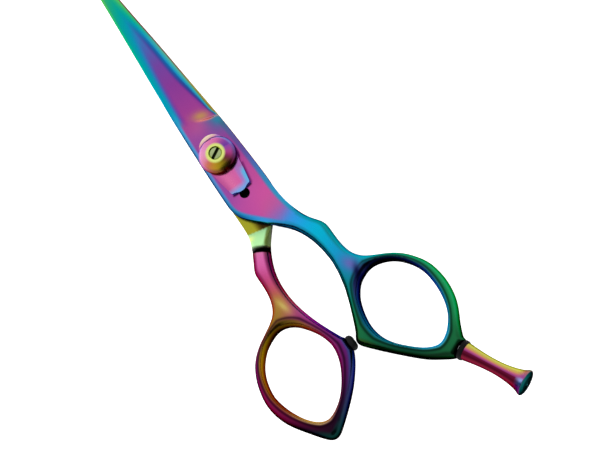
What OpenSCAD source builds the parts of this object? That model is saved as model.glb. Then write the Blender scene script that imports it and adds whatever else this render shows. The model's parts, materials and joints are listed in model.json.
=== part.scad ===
// Offset-handle thinning shears, six inch class, lying flat.
// Origin at the centre of the back of the pivot bolt's head, the lowest face when they lie flat.
// +Z is the pivot axis toward the dial, +Y runs along the blades, +X is the finger side.

/* [Halves] */
// Half of the handle thickness, which is also the thickness of one blade at the pivot
half_t = 2.75; // [2.2:0.05:3.4]
// Gap left between the two ride faces
ride_gap = 0.1; // [0.06:0.02:0.3]
// Width of the soft shoulder along the edges of both handles
shoulder_w = 1.15; // [0.6:0.05:1.3]
// Thickness of a blade at its tip
tip_t = 1.15; // [0.8:0.05:2]

/* [Teeth] */
// Number of gaps cut in the toothed blade
gap_count = 30; // [20:1:40]
// Distance from one tooth to the next
tooth_pitch = 1.6; // [1.2:0.1:2.4]
// Width of one gap
gap_w = 0.75; // [0.5:0.05:1.2]
// Distance from the pivot axis to the first gap
first_gap = 21; // [18:0.5:28]

/* [Pivot] */
// Radius of the round journal of the pivot bolt
journal_r = 2.5; // [2:0.05:3]
// Running clearance on every turning radius
run_clear = 0.05; // [0.02:0.01:0.1]
// Outer radius of the bronze bush pressed into the toothed half
bush_r = 3.3; // [3:0.05:4]
// Radius of the threaded end of the pivot bolt
thread_r = 1.6; // [1.3:0.05:2]
// Radius of the pivot bolt's head on the back
head_r = 4.3; // [3.5:0.1:5.5]

/* [Dial] */
// Radius of the dial at its rim
dial_r = 4.85; // [4.5:0.05:6]
// Radius of the flat on top of the dial
dial_top_r = 2.25; // [2.2:0.05:3]
// Height of the top of the dial over the ride plane
dial_top = 6.6; // [6:0.05:7.5]
// Radius of the slotted screw's head
screw_r = 1.6; // [1.4:0.05:1.85]
// Direction of the screw's slot
slot_turn = 28; // [0:1:180]

/* [Finger rest] */
// Direction in which the finger rest points
rest_turn = -64.5; // [-80:0.5:-45]
// Length of the finger rest from the washer to its bell end
rest_len = 17.2; // [14:0.1:22]
// Radius of the bell end
bell_r = 3.45; // [2.6:0.05:4]
// Thickness of the rubber washer
rest_washer_t = 1.4; // [0.8:0.1:2]

/* [Output] */
// Which piece to draw

/* [Hidden] */
$fn = 96;
face_z = ride_gap / 2;
tip_y = 73;
plate_t = 0.8;
plate_top = half_t + plate_t;
bolt_top = 5.85;
head_t = 1.3;
thrust_t = 0.2;
washer_z = 0.3;
washer_out = 4.8;
rest_seat = [21.3, -77.5, 0];
stud_r = 1.5;
stud_in = 3;
bumper_at = [-0.45, -59.3, 0];
stem_r = 1.1;

// Pieces are drawn with the ride plane of the two halves at zero, then stand on the bolt's head
module on_table() {
    translate([0, 0, half_t + thrust_t + head_t])
        children();
}

// One point of the curve that passes through b and c
function knot(a, b, c, d, t) =
    b + ((c - a) * t + (2 * a - 5 * b + 4 * c - d) * t * t + (3 * b - a - 3 * c + d) * t * t * t) / 2;

// A smooth line through the points p, n steps to a span, without its last point
function smooth(p, n) = [
    for (i = [0 : len(p) - 2])
        for (j = [0 : n - 1])
            knot(p[max(i - 1, 0)], p[i], p[i + 1], p[min(i + 2, len(p) - 1)], j / n)
];

// A smooth closed loop through the points p
function smooth_loop(p, n) = let (m = len(p)) [
    for (i = [0 : m - 1])
        for (j = [0 : n - 1])
            knot(p[(i + m - 1) % m], p[i], p[(i + 1) % m], p[(i + 2) % m], j / n)
];

function left_of(a, b) = let (u = (b - a) / norm(b - a)) [-u[1], u[0]];

// The share of an inset that a point keeps, less toward the thin tip of a blade
function keep(y) = min(1, max(0.1, (tip_y + 0.6 - y) / 32));

// The loop moved inward by d, point for point
function inset(p, d) = let (m = len(p)) [
    for (i = [0 : m - 1])
        let (
            n0 = left_of(p[(i + m - 1) % m], p[i]),
            n1 = left_of(p[i], p[(i + 1) % m])
        )
        p[i] + (n0 + n1) * d * keep(p[i][1]) / (1 + n0 * n1)
];

// A solid through copies of one loop, each step a height and an inset
module loft(loop, steps) {
    m = len(loop);
    k = len(steps);
    points = [
        for (s = steps)
            for (q = inset(loop, s[1]))
                [q[0], q[1], s[0]]
    ];
    sides = [
        for (r = [0 : k - 2])
            for (i = [0 : m - 1])
                let (a = r * m + i, b = r * m + (i + 1) % m)
                for (f = [[a, a + m, b + m], [a, b + m, b]])
                    f
    ];
    floor_face = [for (i = [0 : m - 1]) i];
    roof_face = [for (i = [m - 1 : -1 : 0]) (k - 1) * m + i];
    resize([0, 0, 0])
        polyhedron(points, concat([floor_face], sides, [roof_face]), convexity = 8);
}

grip_steps = [
    [-half_t, shoulder_w],
    [-0.77 * half_t, 0.4 * shoulder_w],
    [-0.36 * half_t, 0],
    [0.36 * half_t, 0],
    [0.77 * half_t, 0.4 * shoulder_w],
    [half_t, shoulder_w]
];

hole_steps = [
    [-1.2 * half_t, -1.8 * shoulder_w],
    [-half_t, -shoulder_w],
    [-0.77 * half_t, -0.4 * shoulder_w],
    [-0.36 * half_t, 0],
    [0.36 * half_t, 0],
    [0.77 * half_t, -0.4 * shoulder_w],
    [half_t, -shoulder_w],
    [1.2 * half_t, -1.8 * shoulder_w]
];

// Plain blade's spine, from the tip to the neck
finger_spine = [
    [0.25, 73], [-0.4, 69.5], [-1.05, 64], [-1.75, 56], [-2.25, 48], [-3.1, 36],
    [-4.35, 18], [-5.2, 0], [-5.45, -8], [-5.5, -12.4]
];
// Neck, inner side of the shank and inner side of the ring
finger_inner = [
    [-5.5, -12.4], [-5.25, -14.2], [-4.5, -15.8], [-3.1, -17.7], [-1.2, -19.8], [2.05, -23.4],
    [3.8, -25.5], [5.2, -27.7], [6.85, -32], [7.75, -39], [6.55, -46.9], [3.85, -54.5], [2.3, -58.1]
];
finger_corner = [[2.3, -58.1], [1.4, -59.4], [1.15, -60.2], [1.5, -61.2], [2.3, -62.3]];
finger_under = [[2.3, -62.3], [4.7, -65.3], [8.25, -69.4], [11.9, -73.4], [14.4, -75.6], [18.2, -78.3]];
finger_outer = [
    [23.5, -75.2], [24.9, -71.8], [26.4, -69], [27.75, -65.5], [28.3, -61.5], [28.1, -58], [27.35, -54.6],
    [25.8, -51.7], [23.75, -49], [21.25, -46.85], [18, -44.9], [15.1, -42.95], [13.35, -40.8],
    [12.5, -38.4], [12.15, -35.5], [12.1, -31.6]
];
finger_bump = [
    [12.1, -31.6], [12.05, -30.4], [11.7, -29.3], [10.9, -28.1], [9.6, -26.2], [8.5, -24],
    [7.6, -21.2], [6.95, -18], [6.65, -14], [6.6, -9], [6.25, 0], [5.95, 6], [5.8, 9.3]
];
finger_edge = [
    [5.35, 11.4], [4.9, 18], [4.25, 27], [3.5, 36], [2.6, 45], [1.65, 56], [1.05, 64], [0.7, 70], [0.5, 72.7]
];
function seat_end(s) = [rest_seat[0] + s * sin(rest_turn), rest_seat[1] - s * cos(rest_turn)];
finger_loop = concat(
    smooth(finger_spine, 2),
    smooth(finger_inner, 2),
    smooth(finger_corner, 2),
    smooth(finger_under, 2),
    [[18.2, -78.3], seat_end(2.6), seat_end(-2.6)],
    smooth(finger_outer, 2),
    smooth(finger_bump, 2),
    [[5.8, 9.3]],
    smooth(finger_edge, 2),
    [[0.5, 72.7]]
);

finger_hole = smooth_loop([
    [15.4, -46.45], [11.4, -47.6], [9.3, -49.6], [7.9, -52], [6.9, -55.6], [6.55, -59.2], [7.2, -62.8],
    [9.1, -66.4], [12.7, -70.4], [15.2, -72.4], [17.9, -73.35], [20.3, -72.25], [22.15, -70.5],
    [23.8, -68], [24.9, -64.4], [25.3, -60], [24.8, -55.5], [22.95, -51.55], [19.8, -48.1]
], 3);

// Toothed blade's tooth line, heel and the outer side of its neck
thumb_edge = [
    [0.35, 72.6], [-0.4, 66], [-1.15, 58], [-1.85, 48], [-2.7, 36], [-3.4, 27], [-4.1, 18],
    [-4.75, 10], [-5.2, 0], [-5.45, -8], [-5.5, -14], [-5.55, -18], [-5.8, -21.2], [-6.6, -23.6],
    [-7.8, -26.1], [-9.5, -29.2], [-9.85, -30.4], [-9.87, -32]
];
thumb_outer = [
    [-9.87, -32], [-9.95, -34.9], [-10.3, -37.5], [-11.2, -40.1], [-12.8, -42.1], [-15.8, -44.1],
    [-19.1, -46], [-21.5, -47.9], [-23.2, -50], [-24.65, -52.8], [-25.65, -56.2], [-26.1, -59.7],
    [-25.65, -63.3], [-24.65, -66.3], [-23.15, -69.1], [-19.9, -74], [-18.45, -75.95]
];
thumb_toe = [[-18.45, -75.95], [-17.6, -76.7], [-16.5, -77.05], [-15.2, -76.75], [-14, -75.95]];
thumb_under = [[-14, -75.95], [-10.05, -72.75], [-5.7, -68.7], [-2.5, -64.8], [-1, -62.4]];
thumb_inner = [
    [-1, -56.6], [-1.7, -55], [-3.2, -51.3], [-4.6, -47.1], [-5.7, -42.2], [-5.95, -37.9], [-5.6, -33.8],
    [-4.3, -29.6], [-2.1, -25.5], [0.9, -21.4], [2.6, -19.4], [4.5, -17.3], [5.9, -15.2], [6.5, -13],
    [6.6, -9], [6.25, 0], [5.9, 7], [5.35, 14], [4.85, 20], [4.25, 27], [3.5, 36], [2.6, 45], [1.7, 55],
    [1.05, 64], [0.7, 70], [0.6, 72.4]
];
thumb_loop = concat(
    smooth(thumb_edge, 2),
    smooth(thumb_outer, 2),
    smooth(thumb_toe, 2),
    smooth(thumb_under, 2),
    [[-1, -62.4], [-0.45, -61.2], [-0.45, -57.4]],
    smooth(thumb_inner, 2),
    [[0.6, 72.4]]
);

thumb_hole = smooth_loop([
    [-13, -45.6], [-17.2, -47], [-19.65, -49.1], [-21.4, -51.5], [-22.6, -54.5], [-23.2, -58.4],
    [-22.65, -62.05], [-21.5, -65.4], [-19.95, -68.4], [-17.9, -70.85], [-15.5, -72], [-13, -71.3],
    [-10.5, -69.65], [-8.55, -67.6], [-6.45, -64.5], [-4.95, -61.3], [-4.25, -57.9], [-4.55, -55],
    [-6.1, -51.2], [-9.2, -47.1]
], 3);

// Everything past the ride plane, ended by a ramp down into the full thickness of the shank
module far_side(side) {
    mirror([0, 0, side > 0 ? 0 : 1])
        translate([0.5, -22, 0])
            rotate([0, 0, -15 * side])
                rotate([90, 0, 90])
                    linear_extrude(height = 60, center = true)
                        polygon([
                            [0, -face_z], [110, -face_z], [110, 6], [-7.6, 6], [-4.4, half_t + 0.02]
                        ]);
}

// The taper that thins the outer face of a blade toward its tip
module thin_face(side) {
    fall = atan((half_t - tip_t) / (tip_y - 12));
    mirror([0, 0, side > 0 ? 0 : 1])
        translate([-20, 12, half_t])
            rotate([-fall, 0, 0])
                cube([40, 80, 6]);
}

// The outer bevel that runs down to an edge
module edge_bevel(heel, tip, rise, lift) {
    run = tip - heel;
    translate([heel[0], heel[1], lift])
        rotate([0, 0, atan2(run[1], run[0])])
            rotate([rise, 0, 0])
                translate([0, -8, 0])
                    cube([80, 16, 8]);
}

module key_hole(r) {
    intersection() {
        cylinder(r = r, h = 20, center = true);
        cube([2 * r + 2, 1.6 * r, 22], center = true);
    }
}

module finger_half() {
    color([0.72, 0.28, 0.55]) on_table()
        difference() {
            loft(finger_loop, grip_steps);
            loft(finger_hole, hole_steps);
            far_side(-1);
            thin_face(1);
            edge_bevel([5.9, 9.6], [0.6, 73.2], 27, 0.35);
            translate([0, 0, -1])
                cylinder(r = washer_out, h = 1 + washer_z);
            key_hole(journal_r + 0.02);
            translate([0, -11.8, 1.3])
                cylinder(r = 1.35, h = 3);
            translate(rest_seat)
                rotate([0, 0, rest_turn])
                    rotate([0, 90, 0])
                        translate([0, 0, -stud_in - 0.25])
                            cylinder(r = stud_r + run_clear, h = stud_in + 3);
        }
}

module thumb_half() {
    color([0.7, 0.22, 0.42]) on_table()
        difference() {
            loft(thumb_loop, grip_steps);
            loft(thumb_hole, hole_steps);
            far_side(1);
            thin_face(-1);
            mirror([0, 0, 1])
                edge_bevel([-5.4, 8], [0.3, 73], -27, 0.35);
            for (i = [0 : gap_count - 1]) {
                y = first_gap + i * tooth_pitch;
                root = 1.2 - 0.85 * (y - first_gap) / 48;
                translate([root - 12, y, -4])
                    cube([12, gap_w, 5]);
            }
            translate([-4.75, -26.3, half_t])
                rotate([0, 0, -32])
                    rotate([45, 0, 0])
                        cube([16, 0.85, 0.85], center = true);
            translate([0, 0, -washer_z])
                cylinder(r = washer_out, h = 1 + washer_z);
            cylinder(r = bush_r, h = 8, center = true);
            translate(bumper_at)
                rotate([0, -90, 0])
                    translate([0, 0, -1])
                        cylinder(r = stem_r, h = 3.4);
        }
}

module pivot_bolt() {
    shoulder = -half_t - thrust_t;
    color([0.62, 0.5, 0.2]) on_table()
        difference() {
            union() {
                rotate_extrude()
                    polygon([
                        [0, shoulder - head_t], [head_r - 1, shoulder - head_t],
                        [head_r - 0.45, shoulder - head_t + 0.15], [head_r - 0.1, shoulder - 0.75],
                        [head_r, shoulder - 0.35], [head_r, shoulder], [0, shoulder]
                    ]);
                translate([0, 0, shoulder])
                    cylinder(r = journal_r, h = washer_z - shoulder);
                intersection() {
                    translate([0, 0, washer_z])
                        cylinder(r = journal_r, h = plate_top - washer_z);
                    cube([12, 1.6 * journal_r, 12], center = true);
                }
                translate([0, 0, plate_top])
                    cylinder(r = thread_r, h = bolt_top - plate_top);
            }
            translate([0, 0, 3])
                cylinder(r = 0.7, h = 4);
            for (s = [-1, 1])
                translate([s * 2.4, 0, shoulder - head_t])
                    cylinder(r = 0.5, h = 1.4, center = true);
        }
}

module pivot_bush() {
    color([0.72, 0.55, 0.3]) on_table()
        difference() {
            translate([0, 0, -half_t])
                cylinder(r = bush_r, h = half_t - washer_z);
            cylinder(r = journal_r + run_clear, h = 12, center = true);
        }
}

module thrust_washer() {
    color([0.85, 0.85, 0.82]) on_table()
        difference() {
            translate([0, 0, -half_t - thrust_t])
                cylinder(r = head_r - 0.2, h = thrust_t - 0.01);
            cylinder(r = journal_r + run_clear, h = 12, center = true);
        }
}

module ride_washer() {
    color([0.9, 0.9, 0.86]) on_table()
        difference() {
            translate([0, 0, 0.01 - washer_z])
                cylinder(r = washer_out - 0.1, h = 2 * washer_z - 0.01);
            cylinder(r = journal_r + run_clear, h = 12, center = true);
        }
}

// Half of the click plate's outline, from its nose round the +X side to its tail
plate_side = concat(
    [for (t = [0 : 15 : 75]) [3.6 * sin(t), 2.6 + 3.6 * cos(t)]],
    [for (t = [75 : 15 : 120]) [4.7 * sin(t), 4.7 * cos(t)]],
    [[3.75, -4], [3.45, -6.4], [2.8, -10.1]]
);
plate_tail = [
    [2.6, -10.45], [2.1, -10.5], [1.5, -10.75], [0.8, -11.1], [0, -11.2],
    [-0.8, -11.1], [-1.5, -10.75], [-2.1, -10.5], [-2.6, -10.45]
];

module click_plate() {
    color([0.85, 0.4, 0.62]) on_table()
        difference() {
            union() {
                translate([0, 0, half_t])
                    linear_extrude(height = plate_t)
                        polygon(concat(
                            plate_side,
                            plate_tail,
                            [for (i = [len(plate_side) - 1 : -1 : 1]) [-plate_side[i][0], plate_side[i][1]]]
                        ));
                translate([-0.55, -11.15, half_t - 1])
                    cube([1.1, 0.4, 1.2]);
            }
            key_hole(journal_r + 0.02);
        }
}

module cone_spring() {
    color([0.7, 0.7, 0.72]) on_table()
        translate([0, 0, plate_top])
            rotate_extrude()
                polygon([[1.85, 0.24], [3.9, 0], [3.9, 0.19], [1.85, 0.43]]);
}

module tension_dial() {
    rim = 4.35;
    color([0.92, 0.55, 0.68]) on_table()
        difference() {
            rotate_extrude()
                polygon(concat(
                    [
                        [thread_r + run_clear, plate_top + 0.44], [4.1, plate_top + 0.44],
                        [4.1, plate_top + 0.15], [dial_r - 0.15, plate_top + 0.15], [dial_r, plate_top + 0.3]
                    ],
                    [
                        for (t = [0 : 9 : 90])
                            [
                                dial_top_r + (dial_r - dial_top_r) * pow(cos(t), 1.25),
                                rim + (dial_top - rim) * pow(sin(t), 0.95)
                            ]
                    ],
                    [
                        [screw_r + 0.15, dial_top], [screw_r + 0.15, bolt_top - 0.25],
                        [thread_r + run_clear, bolt_top - 0.25]
                    ]
                ));
            for (s = [-1, 1])
                translate([0, s * (dial_r + 0.05), rim])
                    cube([1.1, 1.4, 2.2], center = true);
        }
}

module dial_screw() {
    color([0.6, 0.62, 0.35]) on_table()
        difference() {
            union() {
                translate([0, 0, bolt_top - 2.6])
                    cylinder(r = 0.66, h = 2.7);
                translate([0, 0, bolt_top])
                    cylinder(r = screw_r, h = 0.4);
                translate([0, 0, bolt_top + 0.4])
                    cylinder(r1 = screw_r, r2 = screw_r - 0.2, h = 0.15);
            }
            translate([0, 0, bolt_top + 0.45])
                rotate([0, 0, slot_turn])
                    cube([5, 0.6, 0.5], center = true);
        }
}

module along_rest() {
    translate(rest_seat)
        rotate([0, 0, rest_turn])
            rotate([0, 90, 0])
                children();
}

rest_side = [
    [2.3, 0], [2.28, 0.5], [2.1, 2], [1.92, 3.8], [1.78, 6], [1.74, 8], [1.8, 10],
    [2, 12], [2.35, 14], [2.85, 15.8], [bell_r - 0.12, 16.8], [bell_r, rest_len - 0.02]
];

module finger_rest() {
    color([0.62, 0.16, 0.36]) on_table()
        along_rest()
            translate([0, 0, rest_washer_t])
                difference() {
                    rotate_extrude()
                        polygon(concat(
                            [[0, 0]],
                            smooth(rest_side, 2),
                            [
                                for (t = [0 : 18 : 90])
                                    [bell_r - 0.3 + 0.3 * cos(t), rest_len + 0.3 * sin(t)]
                            ],
                            [[bell_r - 1.4, rest_len + 0.55], [0, rest_len + 0.7]]
                        ));
                    translate([0, 0, -1])
                        cylinder(r = stud_r + 0.01, h = 5);
                }
}

module rest_stud() {
    color([0.66, 0.66, 0.68]) on_table()
        along_rest()
            translate([0, 0, -stud_in])
                cylinder(r = stud_r, h = stud_in + rest_washer_t + 3.9);
}

module rest_washer() {
    color([0.08, 0.08, 0.09]) on_table()
        along_rest()
            rotate_extrude()
                polygon([
                    [stud_r + run_clear, 0], [2.3, 0], [2.52, 0.15], [2.62, 0.45], [2.62, rest_washer_t - 0.45],
                    [2.52, rest_washer_t - 0.15], [2.3, rest_washer_t], [stud_r + run_clear, rest_washer_t]
                ]);
}

module ring_bumper() {
    color([0.07, 0.07, 0.08]) on_table()
        translate(bumper_at)
            rotate([0, 90, 0])
                union() {
                    rotate_extrude()
                        polygon(concat(
                            [[0, 0], [1.95, 0]],
                            [
                                for (t = [-20 : 11 : 90])
                                    [1 + 1.1 * cos(t), 0.45 + 1.1 * max(sin(t), -0.4)]
                            ],
                            [[0, 1.55]]
                        ));
                    translate([0, 0, -2.2])
                        cylinder(r = stem_r - 0.02, h = 2.3);
                }
}

finger_half();
thumb_half();
pivot_bolt();
pivot_bush();
thrust_washer();
ride_washer();
click_plate();
cone_spring();
tension_dial();
dial_screw();
finger_rest();
rest_stud();
rest_washer();
ring_bumper();
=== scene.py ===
import json
import math

import bpy
import numpy as np
from mathutils import Matrix, Vector, kdtree
from mathutils.geometry import delaunay_2d_cdt


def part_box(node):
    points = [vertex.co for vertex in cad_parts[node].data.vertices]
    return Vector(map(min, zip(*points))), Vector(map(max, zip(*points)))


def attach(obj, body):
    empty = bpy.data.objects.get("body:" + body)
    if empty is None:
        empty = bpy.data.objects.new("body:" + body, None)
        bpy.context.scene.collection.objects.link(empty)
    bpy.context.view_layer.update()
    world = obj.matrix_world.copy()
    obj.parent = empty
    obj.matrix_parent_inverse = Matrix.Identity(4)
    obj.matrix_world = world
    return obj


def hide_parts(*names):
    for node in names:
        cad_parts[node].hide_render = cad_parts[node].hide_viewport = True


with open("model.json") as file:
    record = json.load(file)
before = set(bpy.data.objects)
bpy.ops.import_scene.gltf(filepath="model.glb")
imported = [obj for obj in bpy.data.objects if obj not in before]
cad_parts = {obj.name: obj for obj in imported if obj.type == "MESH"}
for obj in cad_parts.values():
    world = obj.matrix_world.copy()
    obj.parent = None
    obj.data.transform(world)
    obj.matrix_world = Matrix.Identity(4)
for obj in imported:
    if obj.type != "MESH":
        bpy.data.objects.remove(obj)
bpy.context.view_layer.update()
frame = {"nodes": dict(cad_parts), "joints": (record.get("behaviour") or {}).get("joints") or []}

# Lengths below are millimetres from the pivot axis and the ride plane, as in the CAD.
MM = 0.001
JOINTS = {joint["name"]: joint for joint in frame["joints"]}
RIDE = JOINTS["blade_pivot"]["pos_m"][2] / MM
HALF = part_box("finger_half")[1][2] / MM - RIDE  # thickness of a half
GAP = 0.05  # from the ride plane to a half's inner face
BORE = {1: 2.56, -1: 3.3}  # radius of the pivot hole on each side
RELIEF_R, RELIEF_Z = 4.8, 0.3  # the inner face is set back around the pivot for the ride washer
POCKET_Y, POCKET_R, POCKET_Z = -11.8, 1.34, 1.3  # blind hole for the click plate's tail
BLADE_START, TIP_Y = 9.6, 73.0
TIP_THICK = 1.15  # thickness of a half at its tip
HEEL = (5.5, 10.3)  # corner where the cutting edge begins
SEAT = np.array(JOINTS["rest_turn"]["pos_m"][:2]) / MM
REST_AXIS = np.array(JOINTS["rest_turn"]["axis"][:2])
WASHER_THICK = 1.4
BUMPER_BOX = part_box("ring_bumper")
BUMPER_Y = (BUMPER_BOX[0][1] + BUMPER_BOX[1][1]) / 2 / MM
BUMPER_HEAD = 1.55
BUMPER_X = BUMPER_BOX[1][0] / MM - BUMPER_HEAD

GRID = 0.27  # spacing of the points that fill a face
STEP = 0.24  # spacing round the pivot
FINE = 0.12  # spacing at which outlines are smoothed
THIN = 2  # one smoothed point in this many is kept


# ---------------------------------------------------------------- outlines

def welded(node):
    """The CAD node's points and triangles in millimetres, coincident points joined."""
    mesh = frame["nodes"][node].data
    points = np.empty(len(mesh.vertices) * 3)
    mesh.vertices.foreach_get("co", points)
    points = points.reshape(-1, 3) / MM - (0, 0, RIDE)
    mesh.calc_loop_triangles()
    corners = np.empty(len(mesh.loop_triangles) * 3, dtype=np.int64)
    mesh.loop_triangles.foreach_get("vertices", corners)
    points, index = np.unique(np.round(points, 4), axis=0, return_inverse=True)
    return points, index.ravel()[corners].reshape(-1, 3)


def slice_loops(node, z):
    """Closed outlines of the CAD node at height z, the largest first, each an (n, 2) array."""
    points, tris = welded(node)
    above = points[:, 2] > z
    count = above[tris].sum(1)
    links = {}
    for tri in tris[(count == 1) | (count == 2)]:
        cut = []
        for a, b in ((tri[0], tri[1]), (tri[1], tri[2]), (tri[2], tri[0])):
            if above[a] != above[b]:
                cut.append((min(a, b), max(a, b)))
        links.setdefault(cut[0], []).append(cut[1])
        links.setdefault(cut[1], []).append(cut[0])
    loops, seen = [], set()
    for start in links:
        if start in seen:
            continue
        loop, here = [], start
        while here not in seen:
            seen.add(here)
            loop.append(here)
            nxt = [k for k in links[here] if k not in seen]
            if not nxt:
                break
            here = nxt[0]
        line = []
        for a, b in loop:
            t = (z - points[a, 2]) / (points[b, 2] - points[a, 2])
            line.append((points[a] + t * (points[b] - points[a]))[:2])
        line = np.array(line)
        if area(line) < 0:
            line = line[::-1]
        loops.append(line)
    return sorted(loops, key=lambda q: -area(q))


def area(line):
    x, y = line.T
    return 0.5 * float(np.sum(x * np.roll(y, -1) - np.roll(x, -1) * y))


def resample(line, step):
    """Even points along a closed line, starting at its first point."""
    closed = np.vstack([line, line[:1]])
    run = np.concatenate([[0], np.cumsum(np.linalg.norm(np.diff(closed, axis=0), axis=1))])
    n = max(8, int(round(run[-1] / step)))
    at = np.arange(n) * run[-1] / n
    return np.column_stack([np.interp(at, run, closed[:, k]) for k in (0, 1)])


def soften(line, keep, passes):
    """Rounds the small corners of a closed line, except where keep is 1."""
    free = (1 - keep)[:, None]
    for _ in range(passes):
        mean = 0.25 * np.roll(line, 1, 0) + 0.5 * line + 0.25 * np.roll(line, -1, 0)
        line = line + (mean - line) * free
    return line


def distance_to(line, p):
    """Distance of each point of p from a closed line of closely spaced points."""
    tree = kdtree.KDTree(len(line))
    for i, q in enumerate(line):
        tree.insert((q[0], q[1], 0), i)
    tree.balance()
    near = np.array([tree.find((q[0], q[1], 0))[1] for q in p])
    best = np.full(len(p), 1e9)
    for shift in (-1, 0):
        a = line[(near + shift) % len(line)]
        b = line[(near + shift + 1) % len(line)]
        ab = b - a
        t = np.clip(((p - a) * ab).sum(1) / np.maximum((ab * ab).sum(1), 1e-12), 0, 1)
        best = np.minimum(best, np.linalg.norm(p - a - ab * t[:, None], axis=1))
    return best


def inside(line, p):
    """True for the points of p that lie inside a closed line."""
    out = np.zeros(len(p), bool)
    x, y = p.T
    for (x0, y0), (x1, y1) in zip(line, np.roll(line, -1, 0)):
        if y0 == y1:
            continue
        hit = (y0 > y) != (y1 > y)
        out ^= hit & (x < (x1 - x0) * (y - y0) / (y1 - y0) + x0)
    return out


def offset_rows(line, depths, all_lines):
    """Rows of points at depths inside a line, without those that come too near another edge."""
    ahead = np.roll(line, -1, 0) - np.roll(line, 1, 0)
    normal = np.column_stack([-ahead[:, 1], ahead[:, 0]])
    normal /= np.maximum(np.linalg.norm(normal, axis=1), 1e-9)[:, None]
    rows = []
    for depth in depths:
        row = line + normal * depth
        near = np.min([distance_to(other, row) for other in all_lines], axis=0)
        rows.append(row[near > 0.93 * abs(depth)])
    return np.vstack(rows)


def ring(x, y, r, step):
    n = max(12, 4 * round(math.pi * r / step / 2))
    a = np.arange(n) * 2 * math.pi / n
    return np.column_stack([x + r * np.cos(a), y + r * np.sin(a)])


def ease(a, b, v):
    """0 before a, 1 after b, smooth between."""
    t = np.clip((v - a) / (b - a), 0, 1)
    return t * t * (3 - 2 * t)


# ---------------------------------------------------------------- heights of the two halves

BEVEL = 1.3  # full width of the facet ground along a cutting edge
CHAMFER_DEPTH, CHAMFER_WIDTH = 0.55, 1.25  # round the body's outer face
EDGE_DROP, EDGE_WIDTH = 0.14, 0.09  # the softened arris outside that chamfer
CROWN_DROP, CROWN_SHARE = 0.46, 0.26  # how the blade falls to its spine, over a share of its width
GRIND_SHARE, GRIND_DEPTH = 0.24, 0.22  # where the hollow grind begins across the blade, its depth
LAND_DROP = 0.66  # how far the facet falls to the cutting edge
HANDLE_MAX = 6.0  # the widest handle section that is rounded as one piece
OUTER_ROUND, OUTER_SHARE = 2.1, 0.58
HOLE_ROUND, HOLE_SHARE = 1.6, 0.42
RAMP_START = np.array([0.5, -22.0])
RAMP_RUN = 4.4
RAMP_TURN = 15
GROOVE_AT = np.array([-4.75, -26.2])
GROOVE_TURN = 32
GROOVE_HALF, GROOVE_DEPTH = 0.85, 0.95


def ramp_level(x, y, side):
    """How far up the neck's ramp a point lies: 0 at its foot on the ride plane, 1 at its top."""
    turn = math.radians(-RAMP_TURN * side)
    depth = -((y - RAMP_START[1]) * math.cos(turn) - (x - RAMP_START[0]) * math.sin(turn))
    return depth / RAMP_RUN


def ricasso(x):
    """y at which the blade's hollow grind starts; it falls towards the cutting edge."""
    return 9.1 + 0.15 * np.clip(5.6 - x, 0, 12) ** 1.5


def facet_width(y):
    """Width of the facet along a cutting edge, which narrows towards the start of the grind."""
    return BEVEL * (0.28 + 0.72 * ease(9.5, 27, y))


def across_groove(x, y):
    """Signed distance from the V groove cut across the toothed half's shank."""
    turn = math.radians(GROOVE_TURN)
    return (x - GROOVE_AT[0]) * math.sin(turn) + (y - GROOVE_AT[1]) * math.cos(turn)


def bulge(d, radius):
    """A quarter ellipse from 0 at an edge to 1 at the given distance inside it."""
    t = np.clip(1 - d / np.maximum(radius, 1e-6), 0, 1)
    return np.sqrt(np.maximum(1 - t * t, 0))


def handle_round(d, dh):
    """Height of the rounded handle section as a share of the half thickness."""
    width = np.minimum(d + dh, HANDLE_MAX)
    outer = bulge(d, np.minimum(OUTER_ROUND, OUTER_SHARE * width))
    hole = bulge(dh, np.minimum(HOLE_ROUND, HOLE_SHARE * width))
    return np.minimum(outer, hole)


def outer_face(x, y, d, dh, spine, edge):
    """Height of a half's outer face. x runs from its spine (low) to its cutting edge (high)."""
    handle = ease(-19.5, -27.5, y)
    chamfer = CHAMFER_DEPTH * np.clip(1 - d / CHAMFER_WIDTH, 0, 1) ** 1.2
    flat = HALF - (chamfer + EDGE_DROP * np.exp(-d / EDGE_WIDTH))
    width = edge - spine
    a = np.clip((x - spine) / np.maximum(width, 0.05), 0, 1)
    taper = np.clip((y - BLADE_START) / (TIP_Y - BLADE_START), 0, 1)
    thick = HALF + (TIP_THICK - HALF) * taper
    facet = facet_width(y)
    crease = 1 - np.clip(facet / np.maximum(width, 0.05), 0.02, 0.4)
    crown = 1 - CROWN_DROP * np.clip(1 - a / CROWN_SHARE, 0, 1) ** 2.1
    q = np.clip((a - GRIND_SHARE) / (crease - GRIND_SHARE), 0, 1)
    hollow = GRIND_DEPTH * (1 - (1 - q) ** 1.7)
    land = LAND_DROP * facet / BEVEL * np.clip((a - crease) / (1 - crease), 0, 1)
    blade = thick * (crown - hollow - land)
    step_y = ricasso(x)
    reach = 0.9 + 7.0 * np.clip((0.55 - a) / 0.55, 0, 1)
    ground = ease(0, 1, (y - step_y) / reach)
    face = flat + (blade - flat) * ground
    return face + (HALF * handle_round(d, dh) - face) * handle


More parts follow.
